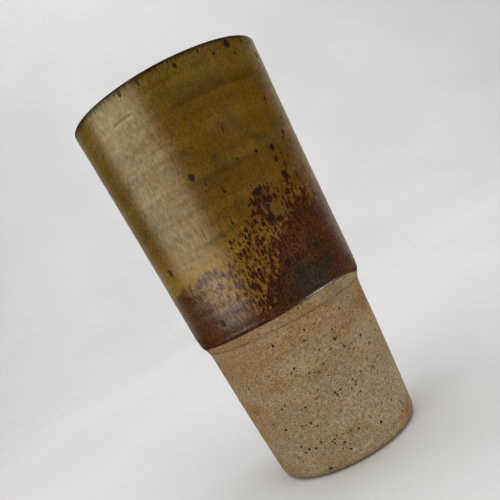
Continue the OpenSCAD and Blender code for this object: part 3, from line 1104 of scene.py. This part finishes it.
# The vase
# Darkening along the scratch, and a painted highlight along its lower edge at this distance below it
SCRATCH_DARK = 0.32
SCRATCH_PAINTED_HIGHLIGHT = 0.3
SCRATCH_HIGHLIGHT_BELOW = 2.0 * MM
SPOT_PROUD = 0.1 * MM
GLAZE_SPECK_PROUD = 0.06 * MM
CLAY_SPECK_PROUD = 0.07 * MM

stoneware = clay_material()
slip = slip_material()
olive = outer_glaze_material()
lip_dark = lip_material()
inner = inner_glaze_material()
iron = iron_material()

for piece, turn, height in (make_upper_wall(), make_lower_wall(), make_base_disc()):
    piece.data.materials.append(stoneware)
    attribute(piece, "flash", flash_field(turn, height))
    # Painted shade on the front and right under the shoulder, together with the clay's own tone
    attribute(piece, "clay_tone_and_painted_shade", patches(turn, height, CLAY_TONE_AND_PAINTED_SHADE))

make_seam_slip()[0].data.materials.append(slip)
make_foot_slip()[0].data.materials.append(slip)

spots = cad_spots()
outer_glaze, turn, height = make_outer_glaze()
outer_glaze.data.materials.append(olive)
attribute(outer_glaze, "cover", cover_field(turn, height, spots))
for name, field in (("mustard", mustard_field), ("green", green_field), ("murk", murk_field)):
    attribute(outer_glaze, name, field(turn, height))
# Tone bands and the darkened scratch, plus a painted highlight below the scratch
tone = patches(turn, height, TONE_BANDS) - SCRATCH_DARK * scratch(turn, height)
painted_highlight = SCRATCH_PAINTED_HIGHLIGHT * scratch(turn, height + SCRATCH_HIGHLIGHT_BELOW)
attribute(outer_glaze, "band", tone + painted_highlight)
attribute(outer_glaze, "below_lip", (HEIGHT - height) / MM * (1.3 + 0.5 * np.sin(turn)))

make_lip_glaze()[0].data.materials.append(lip_dark)
make_liner_glaze()[0].data.materials.append(inner)
make_floor_glaze()[0].data.materials.append(inner)

rows = [(az, z, 0.95 * size, 1.12 * size, SPOT_PROUD) for az, z, size in spots]
spot_domes = domes("iron_spot_domes", rows, glazed_point, ["iron_spots"], seed=31, ragged=0.18)

rim_ticks = scattered(seed=35, count=9, low=274.5, high=276.5, small=1.2, large=2.2)
wall_specks = scattered(seed=36, count=14, low=205, high=264, small=0.9, large=2.0)
rows = GLAZE_SPECKS + [(az, z, size, 2.2 * size) for az, z, size in rim_ticks]
rows = rows + [(az, z, size, 1.4 * size) for az, z, size in wall_specks]
rows = [(az * DEG, z * MM, wide * MM, tall * MM, GLAZE_SPECK_PROUD) for az, z, wide, tall in rows]
glaze_domes = domes("glaze_specks", rows, glazed_point, (), seed=32, ragged=0.5)

rows = CLAY_SPECKS + scattered(seed=34, count=92, low=5, high=96, small=1.0, large=2.3)
rows = [(az * DEG, z * MM, 0.98 * size * MM, 0.9 * size * MM, CLAY_SPECK_PROUD) for az, z, size in rows]
clay_domes = domes("clay_specks", rows, clay_point, (), seed=33, ragged=0.6)
for piece in (spot_domes, glaze_domes, clay_domes):
    piece.data.materials.append(iron)


# Stage and light
STAGE_FRONT = -2.6
STAGE_BACK = 2.0
STAGE_BEND_R = 0.9
STAGE_TOP = 3.4
STAGE_HALF_WIDTH = 4.0
STAGE_GREY = (0.72, 0.72, 0.73, 1)
STAGE_PALE = (0.76, 0.76, 0.765, 1)

# What the glaze mirrors on each side of the vase
MIRROR_LEFT = (0.56, 0.51, 0.38, 1)
MIRROR_RIGHT = (0.68, 0.65, 0.53, 1)
MIRROR_FAR_LEFT = (0.33, 0.24, 0.075, 1)
MIRROR_FRONT = (0.03, 0.022, 0.008, 1)
MIRROR_BESIDE = (0.36, 0.34, 0.30, 1)


def make_stage():
    bend = arc([STAGE_BACK - STAGE_BEND_R, STAGE_BEND_R], STAGE_BEND_R, -PI / 2, 0, 24)
    side = np.concatenate([[[STAGE_FRONT, 0.0]], bend, [[STAGE_BACK, STAGE_TOP]]])
    verts = []
    for x in (-STAGE_HALF_WIDTH, STAGE_HALF_WIDTH):
        verts.extend([(x, y, z) for y, z in side])
    count = len(side)
    faces = [(i, count + i, count + i + 1, i + 1) for i in range(count - 1)]
    mesh = bpy.data.meshes.new("backdrop")
    mesh.from_pydata(verts, [], faces)
    mesh.polygons.foreach_set("use_smooth", [True] * len(mesh.polygons))
    floor = add_object("backdrop", mesh)
    s = Shader("backdrop")
    colour = s.blend(s.ramp(s.noise(3, 2), 0.3, 0.7), STAGE_GREY, STAGE_PALE)
    place = s.node("ShaderNodeSeparateXYZ", s.place).outputs
    mirrored = s.node("ShaderNodeLightPath").outputs["Is Glossy Ray"]
    wall = s.blend(s.ramp(place["X"], -0.5, 0.5), MIRROR_LEFT, MIRROR_RIGHT)
    wall = s.blend(s.ramp(place["X"], -1.95, -1.25), MIRROR_FAR_LEFT, wall)
    seen = s.blend(s.ramp(place["Y"], 1.0, 0.4), wall, MIRROR_FRONT)
    beside = s.ramp(s.math("ABSOLUTE", s.add(place["X"], -0.36)), 0.34, 0.14)
    beside = s.times(beside, s.ramp(s.math("ABSOLUTE", s.add(place["Y"], 0.2)), 0.42, 0.16))
    seen = s.blend(beside, seen, MIRROR_BESIDE)
    colour = s.blend(mirrored, colour, seen)
    rough = s.ramp(s.noise(40, 2), 0.3, 0.7, 0.85, 0.95)
    mesh.materials.append(s.finish(colour, rough, s.noise(300, 2), STAGE_BUMP, DULL_GLOSS))
    floor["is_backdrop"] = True


def soft_light(name, place, target, wide, tall, watts, tint=(1, 1, 1), glossy=False, diffuse=True):
    data = bpy.data.lights.new(name, "AREA")
    data.shape = "RECTANGLE"
    data.size = wide
    data.size_y = tall
    data.energy = watts
    data.color = tint
    lamp = add_object(name, data)
    lamp.location = place
    lamp.rotation_euler = (Vector(target) - Vector(place)).to_track_quat("-Z", "Y").to_euler()
    lamp.visible_glossy = glossy
    lamp.visible_diffuse = diffuse


# Light from all round, and what the camera sees past the backdrop
FILL_STRENGTH = 0.05
FILL_TINT = (1, 0.82, 0.42, 1)
SEEN_STRENGTH = 0.62


def make_world():
    world = bpy.data.worlds.new("studio")
    world.use_nodes = True
    tree = world.node_tree
    fill = tree.nodes["Background"]
    fill.inputs["Strength"].default_value = FILL_STRENGTH
    fill.inputs["Color"].default_value = FILL_TINT
    seen = tree.nodes.new("ShaderNodeBackground")
    seen.inputs["Strength"].default_value = SEEN_STRENGTH
    seen.inputs["Color"].default_value = (1, 1, 1, 1)
    path = tree.nodes.new("ShaderNodeLightPath")
    mix = tree.nodes.new("ShaderNodeMixShader")
    tree.links.new(path.outputs["Is Camera Ray"], mix.inputs[0])
    tree.links.new(fill.outputs[0], mix.inputs[1])
    tree.links.new(seen.outputs[0], mix.inputs[2])
    tree.links.new(mix.outputs[0], tree.nodes["World Output"].inputs["Surface"])
    bpy.context.scene.world = world


make_stage()
make_world()

# Lamps that only reflections show: name, shift sideways, low edge, width, height, radiance, tint
WINDOW_TURN = -61 * DEG
WINDOW_FAR = 0.52
WINDOWS = [
    ("window", 0, 0.105, 0.65, 0.32, 11.4, (1, 0.98, 0.68)),
    ("window_foot", 0.09, 0.035, 0.32, 0.07, 9.0, (1, 0.95, 0.8)),
    ("window_foot_wide", 0.13, 0.035, 0.44, 0.07, 7.0, (1, 0.95, 0.8)),
]
window_side = Vector((math.cos(WINDOW_TURN), math.sin(WINDOW_TURN), 0))
window_out = Vector((math.sin(WINDOW_TURN), -math.cos(WINDOW_TURN), 0)) * WINDOW_FAR
for name, shift, low, wide, tall, radiance, tint in WINDOWS:
    middle = Vector((0, 0, low + tall / 2))
    aim = middle + shift * window_side
    soft_light(name, window_out + aim, aim, wide, tall, radiance * wide * tall, tint, True, False)
soft_light("glint", (0.15, -0.11, 0.012), (0.15, -0.11, 1), 0.1, 0.1, 0.32, (1, 0.97, 0.92), True, False)

# Lamps that light the vase and aren't mirrored in it
soft_light("overhead", (0, -0.2, 2.2), (0, 0, 0), 2.2, 2.2, 24)
soft_light("left", (-1.4, -1.2, 0.9), (0, 0, 0.12), 1.6, 1.6, 10)
soft_light("right", (1.4, -1.2, 0.9), (0, 0, 0.12), 1.6, 1.6, 12)
soft_light("wash", (0, 0.5, 2.4), (0, 2.0, 0.6), 3.2, 1.0, 34)

low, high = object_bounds()
